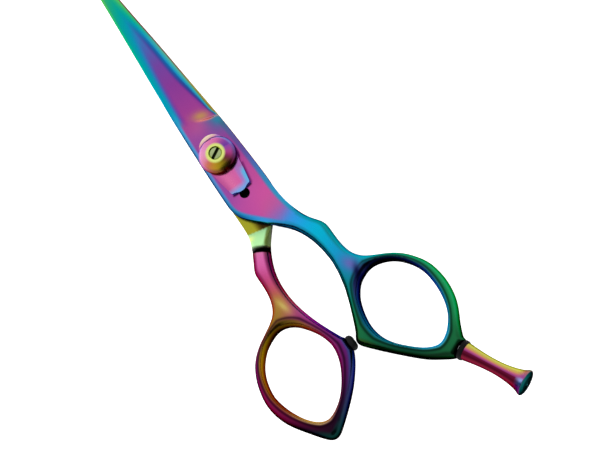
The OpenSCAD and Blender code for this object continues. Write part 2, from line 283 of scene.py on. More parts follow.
def half_heights(x, y, d, dh, spine, edge, side):
    """Top and bottom of a half; side is 1 for the plain half, -1 for the toothed one."""
    outer = outer_face(x * side, y, d, dh, spine * side, edge * side)
    level = ramp_level(x, y, -side)
    slope = np.clip(level, 0, 1)
    slope = slope * (1.15 - 0.15 * slope)
    inner = np.maximum(GAP - (HALF + GAP) * slope, -HALF * handle_round(d, dh))
    inner = np.where(level > 0, inner, GAP)
    inner = np.where(np.hypot(x, y) < RELIEF_R, RELIEF_Z, inner)
    if side > 0:
        pocket = np.hypot(x, y - POCKET_Y) < POCKET_R
        return np.where(pocket, POCKET_Z, outer), inner
    groove = np.clip(1 - np.abs(across_groove(x, y)) / GROOVE_HALF, 0, 1)
    inner = inner + GROOVE_DEPTH * groove * ease(0.2, 2.0, -inner)
    return -inner, -outer


# ---------------------------------------------------------------- the two halves

def ramp_line(depth):
    """Points across the neck, this far past the foot of the toothed half's ramp."""
    turn = math.radians(-RAMP_TURN)
    across = np.arange(-14, 14, 0.2)[:, None]
    foot = RAMP_START + np.array([math.sin(turn), -math.cos(turn)]) * depth
    return foot + across * np.array([math.cos(turn), math.sin(turn)])


def groove_line(offset):
    """Points along the toothed half's groove, this far to one side of its middle."""
    turn = math.radians(GROOVE_TURN)
    across = np.arange(-5, 5, 0.2)[:, None]
    middle = GROOVE_AT + np.array([math.sin(turn), math.cos(turn)]) * offset
    return middle + across * np.array([math.cos(turn), -math.sin(turn)])


def edge_at(line, y, low):
    """x of an outline's low or high side at each height y."""
    grid = np.arange(-14.0, 73.2, 0.2)
    found = []
    nxt = np.roll(line, -1, 0)
    for g in grid:
        hit = (line[:, 1] > g) != (nxt[:, 1] > g)
        a, b = line[hit], nxt[hit]
        xs = a[:, 0] + (g - a[:, 1]) / (b[:, 1] - a[:, 1]) * (b[:, 0] - a[:, 0])
        found.append((xs.min() if low else xs.max()) if len(xs) else found[-1])
    return np.interp(y, grid, found)


def in_socket(p, side):
    """True for outline points inside the blind hole for the rest's stud or the bumper's stem."""
    if side < 0:
        x, y = p.T
        return (np.abs(y - BUMPER_Y) < 1.2) & (x < BUMPER_X - 0.1) & (x > BUMPER_X - 4)
    away = p - SEAT
    along = away @ REST_AXIS
    aside = away @ (-REST_AXIS[1], REST_AXIS[0])
    return (along < -0.03) & (along > -5) & (np.abs(aside) < 1.6)


# What each half's points keep until they are painted: distance from the outline and from the
# ring hole, share of the way from spine to cutting edge, and width there.
FIELDS = ("d", "dh", "a", "wide")


def tree_of(points):
    tree = kdtree.KDTree(len(points))
    for i, q in enumerate(points):
        tree.insert((q[0], q[1], 0), i)
    tree.balance()
    return tree


def gap_to(tree, p):
    """Distance of each point of p from the nearest point in a tree."""
    return np.array([tree.find((q[0], q[1], 0))[2] for q in p])


def teeth_line(y):
    """x of the envelope of the tooth tips, where no gap has been cut."""
    at = [-14, 0, 10, 18, 27, 36, 48, 58, 66, 72.6]
    x = [-5.5, -5.2, -4.75, -4.1, -3.4, -2.7, -1.85, -1.15, -0.4, 0.35]
    return np.interp(y, at, x)


def kept_crisp(fine, side):
    """1 at the points of an outline whose corners stay sharp."""
    keep = ease(62, 66, fine[:, 1])
    heel = np.hypot(fine[:, 0] - side * HEEL[0], fine[:, 1] - HEEL[1])
    keep = np.maximum(keep, 1 - ease(1.0, 2.0, heel))
    keep = np.maximum(keep, 1 - ease(2.8, 3.4, np.linalg.norm(fine - SEAT, axis=1)))
    if side < 0:
        root = 1.2 - 0.85 * (fine[:, 1] - 21) / 48
        teeth = (fine[:, 1] > 20) & (fine[:, 0] < root + 0.15)
        keep = np.maximum(keep, teeth.astype(float))
        bumper = np.hypot(fine[:, 0] - BUMPER_X, fine[:, 1] - BUMPER_Y)
        keep = np.maximum(keep, 1 - ease(2.6, 3.2, bumper))
    return keep


def outlines(node, side):
    """A half's outline, ring hole and pivot hole, from the CAD's slice near the ride plane."""
    outline, hole = slice_loops(node, 0.2 * side)[:2]
    fine = resample(outline[~in_socket(outline, side)], FINE)
    smooth = soften(fine, kept_crisp(fine, side), 45)
    if side > 0:
        x, y = smooth.T
        cutting = (x > 1.5) & (y > 9.9)
        smooth[:, 0] -= 0.3 * cutting * ease(10.0, 13.0, y) * ease(72, 60, y)
    fine_hole = resample(hole, FINE)
    smooth_hole = soften(fine_hole, np.zeros(len(fine_hole)), 60)
    return [smooth[::THIN], smooth_hole[::THIN], ring(0, 0, BORE[side], STEP)]


def inner_points(lines, side):
    """Points inside a half: rows by its edges, lines where its faces turn, and an even fill."""
    outline, hole, bore = lines
    depths = (0.07, 0.18, 0.36, 0.6)
    rows = [
        offset_rows(outline, depths, lines),
        offset_rows(hole, [-d for d in depths], lines),
    ]
    rings = [ring(0, 0, r, STEP) for r in (4.78, 4.82)]
    marks = [ramp_line(0), ramp_line(RAMP_RUN)]
    if side > 0:
        rings += [ring(0, POCKET_Y, r, 0.14) for r in (1.33, 1.36)]
        xs = np.arange(-3, 5.8, 0.12)
        marks += [np.column_stack([xs, ricasso(xs) + k]) for k in (-0.1, 0.08, 0.22, 0.36, 0.52)]
    else:
        marks += [groove_line(k) for k in (-0.85, -0.42, 0.0, 0.42, 0.85)]
    x0, y0 = outline.min(0)
    x1, y1 = outline.max(0)
    gx, gy = np.meshgrid(np.arange(x0, x1, GRID), np.arange(y0, y1, GRID * 0.866))
    gx = gx + (np.arange(gx.shape[0]) % 2)[:, None] * GRID / 2
    fill = np.column_stack([gx.ravel(), gy.ravel()])
    fill = fill[inside(outline, fill) & ~inside(hole, fill) & ~inside(bore, fill)]
    fill = fill[np.min([distance_to(line, fill) for line in lines], axis=0) > 0.78]
    for r in rings:
        fill = fill[distance_to(r, fill) > 0.2]
    marks = np.vstack(marks)
    marks = marks[inside(outline, marks)]
    marks = marks[np.min([distance_to(line, marks) for line in lines + rings], axis=0) > 0.12]
    tree = tree_of(marks)
    fill = fill[gap_to(tree, fill) > 0.14]
    rows = [row[gap_to(tree, row) > 0.05] for row in rows]
    return rows + rings + [marks, fill]


def triangulate(lines, inner):
    """The flat points of a half and the triangles between them."""
    edges, base = [], 0
    for line in lines:
        n = len(line)
        edges += [(base + i, base + (i + 1) % n) for i in range(n)]
        base += n
    points = [Vector(p) for p in np.vstack(lines + inner)]
    out = delaunay_2d_cdt(points, edges, [], 0, 1e-6)
    flat = np.array([(v.x, v.y) for v in out[0]])
    faces = np.array([f for f in out[2] if len(f) == 3])
    centre = flat[faces].mean(1)
    outline, hole, bore = lines
    solid = inside(outline, centre) & ~inside(hole, centre) & ~inside(bore, centre)
    return flat, faces[solid]


def shell(flat, faces, lower):
    """Triangles above and below and the walls between; lower holds each point's index below."""
    polys, directed = [], set()
    for a, b, c in faces:
        pa, pb, pc = flat[a], flat[b], flat[c]
        if (pb[0] - pa[0]) * (pc[1] - pa[1]) - (pb[1] - pa[1]) * (pc[0] - pa[0]) < 0:
            b, c = c, b
        polys.append((a, b, c))
        polys.append((lower[c], lower[b], lower[a]))
        directed.update([(a, b), (b, c), (c, a)])
    for a, b in directed:
        if (b, a) in directed:
            continue
        wall = [b, a, lower[a], lower[b]]
        wall = [w for i, w in enumerate(wall) if w != wall[i - 1]]
        if len(wall) > 2:
            polys.append(tuple(wall))
    return polys


def build_half(node, name, side):
    """A fine copy of one half: outline from the CAD, faces ground, crowned and rounded."""
    lines = outlines(node, side)
    flat, faces = triangulate(lines, inner_points(lines, side))
    outline, hole = lines[:2]
    x, y = flat.T
    d, dh = distance_to(outline, flat), distance_to(hole, flat)
    low, high = edge_at(outline, y, True), edge_at(outline, y, False)
    spine, edge = (low, high) if side > 0 else (high, teeth_line(y))
    top, bottom = half_heights(x, y, d, dh, spine, edge, side)
    top = np.maximum(top, bottom)
    joined = ((d < 1e-3) | (dh < 1e-3)) & (top - bottom < 0.03)
    n = len(flat)
    lower = np.where(joined, np.arange(n), np.arange(n) + n)
    top = np.where(joined, 0.5 * (top + bottom), top)
    used = np.concatenate([np.ones(n, bool), ~joined])
    verts = np.vstack([np.column_stack([flat, z]) for z in (top, bottom)])[used]
    renumber = np.cumsum(used) - 1
    polys = [tuple(int(renumber[i]) for i in p) for p in shell(flat, faces, lower)]
    mesh = bpy.data.meshes.new(name)
    mesh.from_pydata((verts * MM + (0, 0, RIDE * MM)).tolist(), [], polys)
    mesh.update()
    mesh.shade_smooth()
    mesh.set_sharp_from_angle(angle=math.radians(32))
    obj = bpy.data.objects.new(name, mesh)
    bpy.context.scene.collection.objects.link(obj)
    a = np.clip((x - spine) / (edge - spine), 0, 1)
    for key, value in zip(FIELDS, (d, dh, a, np.abs(edge - spine))):
        obj[key] = np.concatenate([value, value])[used]
    return obj


finger = build_half("finger_half", "plain_half", 1)
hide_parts("finger_half")
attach(finger, "finger_side")
thumb = build_half("thumb_half", "toothed_half", -1)
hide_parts("thumb_half")
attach(thumb, "thumb_side")

# ---------------------------------------------------------------- film colours, with painted light and shade

# Points of the coating's colour, (x, y, red, green, blue) as the eye sees it, with light and shade
# painted in: near-black points, as along the +Y edge of each ring hole, are painted shade, and
# glints such as the cyan at (17.8, -73) are painted highlights.
# "mid" is the crown or flat of a half, "rim" its outer edge, "eye" the edge of its ring hole.
FINGER_FILM_AND_LIGHT = {
    "mid": [
        (-2, 11, .68, .28, .56), (0, 9.6, .76, .36, .56), (-2.5, 7, .62, .32, .64),
        (1, 8, .66, .30, .60), (4.9, 8.2, .20, .50, .60),
        (3.4, 5.5, .56, .28, .62), (-3.5, 1, .60, .26, .58), (4, 0, .62, .25, .58),
        (3, -7, .80, .32, .60),
        (-3, -9, .58, .30, .66), (2, -14, .84, .34, .62), (-1.5, -15, .78, .32, .64),
        (3, -18, .80, .35, .60),
        (4.7, -18.6, .76, .36, .62), (4.2, -21, .66, .38, .68), (5.8, -25, .24, .58, .92),
        (7, -28, .08, .68, .90), (8.8, -32, .03, .72, .83),
        (9.8, -37, .07, .64, .82), (11, -41.2, .12, .56, .80), (15.5, -43.2, .08, .62, .70),
        (8.5, -45, .08, .50, .62),
        (21.5, -46.5, .12, .60, .48), (26, -52, .12, .55, .37), (28, -59, .13, .55, .34),
        (26.8, -67, .11, .52, .30),
        (22, -74, .12, .44, .26), (17, -75, .10, .34, .20), (11, -70, .05, .26, .18),
        (6, -64, .06, .34, .24),
        (4.6, -59, .14, .46, .26), (5.4, -53, .08, .48, .34), (7, -48.5, .06, .50, .48),
    ],
    "rim": [
        (-4.8, 12, .22, .70, .88), (-5.2, 5, .36, .68, .92), (-5.4, -5, .36, .62, .88),
        (-5.6, -11, .26, .60, .86), (-5.4, -15, .08, .60, .70), (-3.4, -18, .16, .58, .86),
        (.5, -22, .26, .62, .92),
        (4.5, -26.5, .10, .48, .72), (7.8, -33, .03, .42, .54), (8.2, -40, .03, .42, .50),
        (6.4, -48, .03, .36, .30),
        (3, -57, .12, .42, .20), (2, -60.5, .22, .32, .12), (6.5, -67, .05, .16, .09),
        (13.5, -74, .06, .12, .07),
        (5.6, 10.6, .74, .40, .58), (5.9, 8.4, .14, .42, .44),
        (6.2, 4, .34, .38, .60), (6.4, -1, .44, .26, .56), (6.7, -5, .34, .38, .68),
        (7, -11, .22, .52, .72),
        (7.4, -18, .20, .60, .74), (9.5, -25.5, .08, .62, .66), (12, -30.5, .10, .54, .46),
        (12.2, -36, .12, .58, .60),
        (14.5, -41.5, .10, .66, .78), (20.5, -44.8, .16, .62, .56), (26.3, -50, .16, .57, .40),
        (29, -59, .17, .58, .36),
        (27.6, -68, .13, .55, .33), (23.5, -75, .12, .42, .24), (18, -77, .05, .14, .08),
    ],
    "eye": [
        (8.6, -50, .20, .22, .42), (9.8, -47.6, .07, .08, .26), (13, -46, .05, .05, .14),
        (17, -45.8, .05, .06, .14),
        (22, -48.8, .05, .10, .18),
        (25, -54, .14, .20, .40), (25.8, -60, .16, .40, .62), (24.4, -66.5, .12, .52, .66),
        (21.5, -71, .16, .60, .72),
        (17.8, -73, .30, .74, .94), (13, -70.5, .14, .60, .68), (9.3, -66, .12, .52, .58),
        (7.2, -60, .06, .36, .46),
        (7.3, -54, .05, .24, .38),
    ],
}
BLADE_FILM = [
    (8, .72, .32, .56), (15, .63, .25, .57), (23, .55, .24, .60), (30, .46, .28, .64),
    (35, .32, .38, .70),
    (40, .18, .50, .74), (45, .04, .60, .71), (50, .02, .65, .62), (56, .12, .68, .50),
    (64, .32, .72, .38),
    (76, .50, .76, .30), (92, .66, .80, .30),
]
FACET_FILM = [
    (0, .34, .60, .50), (.3, .20, .62, .66), (.6, .10, .48, .68), (.85, .12, .36, .64),
    (1.1, .28, .28, .62), (1.5, .46, .26, .62),
]
# Colours laid over the film at marked places. The left edge, neck and ramp colours are coating;
# lip and ramp glint are painted highlights; every other entry is painted shade.
TONE = {
    "crease": (.30, .10, .46), "left edge": (.24, .68, .88), "lip": (.93, .57, .50),
    "brim_shade": (.05, .20, .38), "hollow": (.01, .20, .26), "pocket": (.01, .02, .02),
    "plate foot shadow": (.10, .02, .10), "plate flank shadow": (.34, .08, .34),
    "finger ring shade line": (.02, .08, .07), "thumb ring shade line": (.10, .01, .06),
    "neck": (.66, .65, .17), "neck shade": (.22, .15, .04), "groove": (.02, .015, .015),
    "ramp": (.70, .92, .64), "ramp glint": (.96, 1.0, .60), "ramp shade": (.34, .38, .12),
}
# Soft round patches: share, (x, y, two radii, turn in degrees), colour. The fork gold patch is a
# painted highlight and the fork navy patch painted shade; the others are coating colour.
PATCHES = {
    "grind gold": (0.9, (2.0, 11.9, 2.2, 1.3, -22), (.76, .58, .34)),
    "heel teal": (0.8, (5.0, 8.5, 1.1, 1.3, 0), (.16, .54, .66)),
    "fork purple": (0.9, (11.3, -43.4, 1.6, 2.6, 20), (.43, .41, .72)),
    "fork navy shade": (0.9, (11.5, -46.3, 2.2, 0.9, 69), (.04, .05, .22)),
    "fork gold highlight": (0.7, (-8.4, -41.8, 0.7, 2.3, 12), (.84, .78, .42)),
}
# The toothed half's points, laid out the same way, also hold painted shade and painted highlights.
THUMB_FILM_AND_LIGHT = {
    "mid": [
        (0, 70, .40, .70, .30), (0, 52, .10, .64, .50), (0, 40, .10, .50, .70),
        (0, 30, .46, .30, .64),
        (0, 18, .70, .28, .56), (0, 8, .84, .50, .44), (0, -4, .80, .56, .34),
        (-2, -14, .74, .62, .26),
        (-4.5, -17.5, .66, .64, .16), (-1.5, -20, .40, .32, .06), (-3.5, -21.5, .70, .74, .28),
        (-4.5, -24, .68, .90, .62),
        (-2.5, -24, .62, .86, .62), (-5.4, -27.8, .88, .42, .68), (-6.2, -31.5, .88, .42, .70),
        (-6.6, -36, .86, .42, .58),
        (-9.6, -40.2, .62, .58, .13), (-7.2, -41.7, .84, .54, .42), (-12, -42.6, .60, .52, .10),
        (-8.6, -33.5, .70, .18, .40), (-9, -37, .72, .26, .28), (-17, -45.2, .58, .36, .22),
        (-22, -49, .44, .13, .40), (-25, -55, .48, .10, .26), (-25.2, -61, .54, .10, .28),
        (-24, -67, .40, .05, .22),
        (-20.5, -72.5, .24, .04, .16), (-16.5, -75.5, .10, .05, .09),
        (-10.5, -71.5, .12, .05, .17), (-5, -65.5, .32, .10, .34),
        (-3, -60, .42, .12, .44), (-4.2, -53, .50, .14, .46), (-5.6, -47, .64, .24, .46),
    ],
    "rim": [
        (4, 60, .50, .40, .26), (4.4, 45, .50, .30, .28), (4.6, 30, .58, .42, .28),
        (5.4, 18, .66, .62, .30),
        (5.8, 10, .66, .56, .22), (6.4, 0, .60, .40, .20), (-5, 0, .60, .42, .16),
        (-3, 30, .30, .40, .60),
        (-1, 60, .30, .60, .30), (-5.9, -19, .52, .54, .12), (-6.2, -22.5, .78, .92, .50),
        (-7.6, -27, .52, .12, .34),
        (-9.6, -31, .62, .16, .36), (-9.8, -36, .50, .15, .22), (-10.8, -40.3, .60, .40, .10),
        (-15, -43.5, .60, .42, .20),
        (-20, -46.5, .52, .22, .38), (-24.5, -52, .34, .08, .40), (-26.4, -59, .48, .08, .24),
        (-25.8, -65, .34, .05, .18),
        (-22, -72, .12, .02, .10), (-17, -77, .03, .22, .17), (-1.4, -25, .46, .40, .14),
        (-3.6, -28.5, .36, .08, .32),
        (-5.4, -34, .42, .12, .30), (-5.6, -41, .68, .34, .46), (-4.6, -48, .62, .24, .56),
        (-2.2, -55, .42, .18, .58),
        (-1, -60, .12, .30, .48), (-3.6, -65, .22, .22, .46), (-9.5, -72, .16, .18, .30),
        (1, -21, .16, .10, .03),
    ],
    "eye": [
        (-13.5, -44.6, .16, .09, .02), (-9.4, -45.3, .36, .31, .05),
        (-17.6, -46.9, .52, .44, .08), (-21.4, -51.5, .60, .44, .12),
        (-23.2, -57.5, .56, .36, .12), (-22.8, -63.5, .50, .22, .16),
        (-20.6, -68.6, .74, .62, .34), (-17.4, -71.2, .82, .72, .42),
        (-13.4, -70.6, .70, .46, .46), (-9.2, -67, .32, .07, .24), (-6, -61.6, .52, .13, .42),
        (-5.2, -55.5, .54, .18, .40),
        (-6.8, -49.2, .58, .36, .20),
    ],
}


def linear(c):
    """Linear light of a colour given as the eye sees it."""
    c = np.asarray(c, float)
    return np.where(c <= 0.04045, c / 12.92, ((c + 0.055) / 1.055) ** 2.4)


def blend_points(stops, x, y):
    """Colour at each (x, y), mixed smoothly from the stops around it."""
    at = np.array([stop[:2] for stop in stops])
    rgb = np.array([stop[2:] for stop in stops])
    apart = np.linalg.norm(at[:, None] - at[None], axis=2) + 99 * np.eye(len(at))
    reach = np.clip(0.72 * apart.min(1), 1.2, 4.0)
    total = np.zeros((len(x), 3))
    weight = np.zeros(len(x))
    for (sx, sy), colour, r in zip(at, rgb, reach):
        far = (x - sx) ** 2 + (y - sy) ** 2
        w = np.exp(-0.5 * far / r ** 2) + 1e-5 / (far + 1)
        total += w[:, None] * colour
        weight += w
    return total / weight[:, None]


def read_stops(stops, at):
    """Colour at each place along a list of (place, red, green, blue)."""
    places, rgb = zip(*[(stop[0], stop[1:]) for stop in stops])
    rgb = np.array(rgb)
    return np.column_stack([np.interp(at, places, rgb[:, k]) for k in range(3)])


def over(base, share, rgb):
    return base + share[:, None] * (np.array(rgb) - base)


def spot(x, y, cx, cy, rx, ry, turn=0.0):
    """A soft round patch, 1 at its middle."""
    c, s = math.cos(math.radians(turn)), math.sin(math.radians(turn))
    u, v = (x - cx) * c + (y - cy) * s, (y - cy) * c - (x - cx) * s
    return np.exp(-((u / rx) ** 2 + (v / ry) ** 2))


def blade_colour(y, from_spine, from_edge):
    """The coating along a blade: magenta by the pivot, then blue, green at the tip and edges, and
    a dark line of painted shade along the facet's crease.
    """
    rim_shift = 8 * ease(20, 45, y)
    spine_shift = np.maximum(5, 0.85 * (50 - y)) * ease(3.3, 0.9, from_spine)
    spine_shift = spine_shift + rim_shift * ease(1.1, 0.2, from_spine)
    edge_shift = 6 * ease(2.3, 0.6, from_edge) + rim_shift * ease(0.9, 0.2, from_edge)
    colour = read_stops(BLADE_FILM, y + np.maximum(spine_shift, edge_shift))
    across = from_edge / (1.35 * facet_width(y))
    facet = read_stops(FACET_FILM, across)
    colour = over(colour, ease(1.5, 1.0, across) * ease(47, 33, y), facet)
    # Painted shade: a dark line along the crease where the facet meets the hollow grind.
    crease = np.exp(-(((across - 0.9) / 0.45) ** 2)) * ease(30, 16, y)
    return over(colour, 0.4 * crease, TONE["crease"])


def near_line(x, y, a, b, width):
    """1 along the segment from a to b, fading over width."""
    a, b = np.array(a, float), np.array(b, float)
    p = np.column_stack([x, y]) - a
    t = np.clip(p @ (b - a) / ((b - a) @ (b - a)), 0, 1)
    return np.exp(-((np.linalg.norm(p - t[:, None] * (b - a), axis=1) / width) ** 2))


def patched(colour, x, y, name):
    """A colour with one of the PATCHES over it."""
    share, where, rgb = PATCHES[name]
    return over(colour, share * spot(x, y, *where), rgb)


def bands(stops, x, y, d, dh, side):
    """The film of a handle or body: crown, rim, and the edge of the ring's hole, with painted
    highlights and painted shade in their stops, and a dark line of painted shade round the ring's
    hole.
    """
    mid, rim, eye = (blend_points(stops[k], x, y) for k in ("mid", "rim", "eye"))
    width = np.minimum(d + dh, HANDLE_MAX)
    ring_part = ease(-38, -45, y)[:, None]
    band = np.where(y > -24, 1.25, np.minimum(0.34 * width, 1.5))
    w_rim = (1 - ease(0.55 * band, 1.15 * band, d))[:, None]
    hole_band = np.minimum(0.38 * width, 1.5)
    w_eye = (1 - ease(0.7 * hole_band, 1.1 * hole_band, dh))[:, None] * ring_part
    colour = mid * (1 - w_rim) + rim * w_rim
    colour = colour * (1 - w_eye) + eye * w_eye
    # Painted shade: a dark line round the ring's hole, along the crease of the ring's section.
    line = np.exp(-(((dh - 1.2 * hole_band) / (0.2 * hole_band + 0.06)) ** 2)) * ring_part[:, 0]
    return over(colour, 0.7 * line, TONE["finger ring shade line" if side > 0 else "thumb ring shade line"])


def plain_film_and_light(colour, x, y, d, a, wide):
    """The plain half: its blade, the edge of the grind, and the painted shadows of what sits on
    it, with a painted highlight on the step's lip and painted shade along its edges and in its
    pocket.
    """
    past_step = y - ricasso(x)
    from_spine = a * wide
    blade = blade_colour(y, from_spine, (1 - a) * wide)
    blade = patched(blade, x, y, "grind gold")
    soft_edge = 0.15 + 1.6 * ease(1.2, -2.5, x)
    grind = ease(-1, 1, past_step / soft_edge)
    colour = colour + grind[:, None] * (blade - colour)
    left = ease(1.9, 0.8, from_spine) * ease(20, 9, y) * grind
    colour = over(colour, left, TONE["left edge"])
    # Painted highlight: a pale line along the lip of the step where the grind starts.
    lip = np.exp(-(((past_step - 0.35) / 0.42) ** 2)) * ease(-0.6, 2.0, x) * (y < 14)
    colour = over(colour, 0.9 * lip, TONE["lip"])
    colour = patched(colour, x, y, "heel teal")
    # Painted shade: a dark line along the outer edge on the -X side by the pivot.
    brim_shade = np.exp(-((d / 0.5) ** 2)) * (x < 0) * ease(20, 7, y) * ease(-21, -14, y)
    colour = over(colour, 0.85 * brim_shade, TONE["brim_shade"])
    # Painted shade: a dark line along the shank's edge on its -X side.
    hollow = np.exp(-((d / 0.4) ** 2)) * (x > 0.5) * (x < 9.2)
    hollow = hollow * ease(-21, -24, y) * ease(-50, -46, y)
    colour = over(colour, 0.8 * hollow, TONE["hollow"])
    # Painted shadows: dark lines under the click plate's tail and along its +X side.
    foot = near_line(x, y, (-2.6, -10.8), (-1.4, -10.95), 0.24)
    foot = foot + near_line(x, y, (1.4, -10.95), (2.6, -10.8), 0.24)
    colour = over(colour, np.minimum(0.95 * foot, 1), TONE["plate foot shadow"])
    flank = near_line(x, y, (3.95, -4.9), (3.0, -10.4), 0.25)
    colour = over(colour, 0.65 * flank, TONE["plate flank shadow"])
    colour = patched(colour, x, y, "fork purple")
    # Painted shade: a near-black band along the +Y edge of the ring's hole.
    colour = patched(colour, x, y, "fork navy shade")
    # Painted shade: the blind pocket for the plate's tail is filled near-black.
    return over(colour, (np.hypot(x, y - POCKET_Y) < 1.345) * 1.0, TONE["pocket"])


def toothed_film_and_light(colour, x, y, z, d):
    """The toothed half: gold neck, pale ramp up to the shank, and the groove past it, painted
    black as shade; also painted highlights on the fork and the ramp and painted shade on the neck
    and along the ramp.
    """
    # Painted highlight: a pale gold streak where the shank meets the ring.
    colour = patched(colour, x, y, "fork gold highlight")
    level = ramp_level(x, y, 1)
    inner = z > -0.5
    floor = ease(-11, -14, y) * (1 - ease(-0.04, 0.03, level)) * inner
    colour = over(colour, floor, TONE["neck"])
    # Painted shade: the neck darkens towards +X, next to the plain half.
    colour = over(colour, floor * ease(-3.6, -1.2, x), TONE["neck shade"])
    ramp = ease(-0.04, 0.03, level) * (1 - ease(1.05, 1.25, level)) * inner
    colour = over(colour, ramp, TONE["ramp"])
    colour = over(colour, ramp * spot(x, y, -5.9, -22, 1.2, 1.0), TONE["ramp glint"])
    shaded = ramp * ease(1.3, 0.7, d) * (x > -3.8)
    colour = over(colour, 0.8 * shaded, TONE["ramp shade"])
    # Painted shade: the groove across the shank is filled near-black.
    dark = np.clip(1.25 - np.abs(across_groove(x, y)) / 0.8, 0, 1) * inner
    return over(colour, dark * ease(-27.2, -27.0, y + 1.2), TONE["groove"])


def film_and_light_colour(stops, x, y, z, d, dh, a, wide, side):
    """The coating's colour over a half, with painted highlights and painted shade laid in."""
    colour = bands(stops, x, y, d, dh, side)
    if side > 0:
        return plain_film_and_light(colour, x, y, d, a, wide)
    return toothed_film_and_light(colour, x, y, z, d)


def neck_satin(x, y, z, side):
    """1 where a half is left satin: the ramp down from the ride face."""
    level = ramp_level(x, y, -side)
    return (ease(-0.04, 0.03, level) * ease(1.2, 1.0, level) * (z * side < 0.5)).astype(float)


def paint(obj, stops, side):
    """Stores the film colour, with its painted light and shade, and the satin of the neck's ramp
    on a half's points.
    """
    mesh = obj.data
    co = np.empty(len(mesh.vertices) * 3)
    mesh.vertices.foreach_get("co", co)
    co = co.reshape(-1, 3) / MM - (0, 0, RIDE)
    x, y, z = co.T
    d, dh, a, wide = (np.array(obj[key]) for key in FIELDS)
    colour, satin = film_and_light_colour(stops, x, y, z, d, dh, a, wide, side), neck_satin(x, y, z, side)
    # The film attribute holds the coating's colour with its painted highlights and painted shade.
    layer = mesh.color_attributes.new("film", "FLOAT_COLOR", "POINT")
    flat = np.column_stack([linear(np.clip(colour, 0, 1)), np.ones(len(x))])
    layer.data.foreach_set("color", flat.ravel())
    rough = mesh.attributes.new("satin", "FLOAT", "POINT")
    rough.data.foreach_set("value", satin)
    for key in FIELDS:
        del obj[key]


# ---------------------------------------------------------------- materials

EVEN = (1, 1, 1)


class Mat:
    """A small helper that adds and joins shader nodes."""

    def __init__(self, name):
        self.mat = bpy.data.materials.new(name)
        self.mat.use_nodes = True
        self.tree = self.mat.node_tree
        self.shader = self.tree.nodes["Principled BSDF"]

    def add(self, kind, _props=None, **inputs):
        node = self.tree.nodes.new(kind)
        for key, value in (_props or {}).items():
            setattr(node, key, value)
        for key, value in inputs.items():
            self.put(node.inputs[key.replace("_", " ")], value)
        return node

    def put(self, socket, value):
        if isinstance(value, bpy.types.NodeSocket):
            self.tree.links.new(value, socket)
        else:
            socket.default_value = value

    def math(self, op, a, b=0.0, c=0.0):
        node = self.tree.nodes.new("ShaderNodeMath")
        node.operation = op
        for socket, value in zip(node.inputs, (a, b, c)):
            self.put(socket, value)
        return node.outputs[0]

    def dot(self, vector, fixed):
        node = self.add("ShaderNodeVectorMath", {"operation": "DOT_PRODUCT"})
        self.put(node.inputs[0], vector)
        node.inputs[1].default_value = fixed
        return node.outputs["Value"]

    def spread(self, value, a, b, c=0, d=1):
        """The value carried from the range a to b into the range c to d, and held there."""
        node = self.tree.nodes.new("ShaderNodeMapRange")
        for socket, v in zip(node.inputs, (value, a, b, c, d)):
            self.put(socket, v)
        return node.outputs[0]

    def ramp(self, value, stops, mode="EASE"):
        node = self.tree.nodes.new("ShaderNodeValToRGB")
        ramp = node.color_ramp
        ramp.interpolation = mode
        while len(ramp.elements) < len(stops):
            ramp.elements.new(0.5)
        for element, (at, rgb) in zip(ramp.elements, stops):
            element.position = at
            element.color = (*linear(rgb), 1)
        self.put(node.inputs[0], value)
        return node.outputs[0]

    def mix(self, share, a, b, mode="MIX"):
        node = self.tree.nodes.new("ShaderNodeMix")
        node.data_type = "RGBA"
        node.blend_type = mode
        self.put(node.inputs[0], share)
        for socket, value in ((node.inputs[6], a), (node.inputs[7], b)):
            if isinstance(value, tuple):
                value = (*linear(value), 1)
            self.put(socket, value)
        return node.outputs[2]

    def position(self):
        return self.add("ShaderNodeTexCoord").outputs["Object"]

    def millimetres(self):
        xyz = self.add("ShaderNodeSeparateXYZ", Vector=self.position()).outputs
        return [self.math("DIVIDE", v, MM) for v in xyz]

    def attribute(self, name, output):
        props = {"attribute_name": name, "attribute_type": "GEOMETRY"}
        return self.add("ShaderNodeAttribute", props).outputs[output]

    def noise(self, scale, detail=3.0, stretch=EVEN, rough=0.55):
        mapping = self.add("ShaderNodeMapping", Vector=self.position())
        mapping.inputs["Scale"].default_value = stretch
        node = self.add("ShaderNodeTexNoise", Vector=mapping.outputs[0],
                        Scale=scale, Detail=detail, Roughness=rough)
        return node.outputs["Fac"]

    def bump(self, height, strength, distance):
        node = self.add("ShaderNodeBump", Height=height, Strength=strength, Distance=distance)
        self.put(self.shader.inputs["Normal"], node.outputs[0])

    def finish(self, colour, rough, metallic=1.0):
        self.put(self.shader.inputs["Base Color"], colour)
        self.put(self.shader.inputs["Roughness"], rough)
        self.put(self.shader.inputs["Metallic"], metallic)
        return self.mat


def polished(m, colour, rough=0.2, grain=(1, 0.12, 1)):
    """Polished coated steel: faint clouds in the film, draw marks, a few hairline scratches."""
    cloud = m.spread(m.noise(90, 4), 0.35, 0.75, 0.0, 0.16)
    colour = m.mix(cloud, colour, (0.80, 0.84, 0.90), "SOFT_LIGHT")
    marks = m.noise(2600, 2, grain)
    hair = m.noise(1500, 1, (1, 0.09, 1), 0.2)
    scratch = m.spread(hair, 0.66, 0.76)
    level = m.math("MULTIPLY_ADD", m.spread(marks, 0.3, 0.7, -1.0, 1.0), 0.05, rough)
    level = m.math("MULTIPLY_ADD", scratch, 0.05, level)
    m.bump(marks, 0.02, 0.00002)
    m.put(m.shader.inputs["Specular Tint"], colour)
    return m.finish(colour, level)


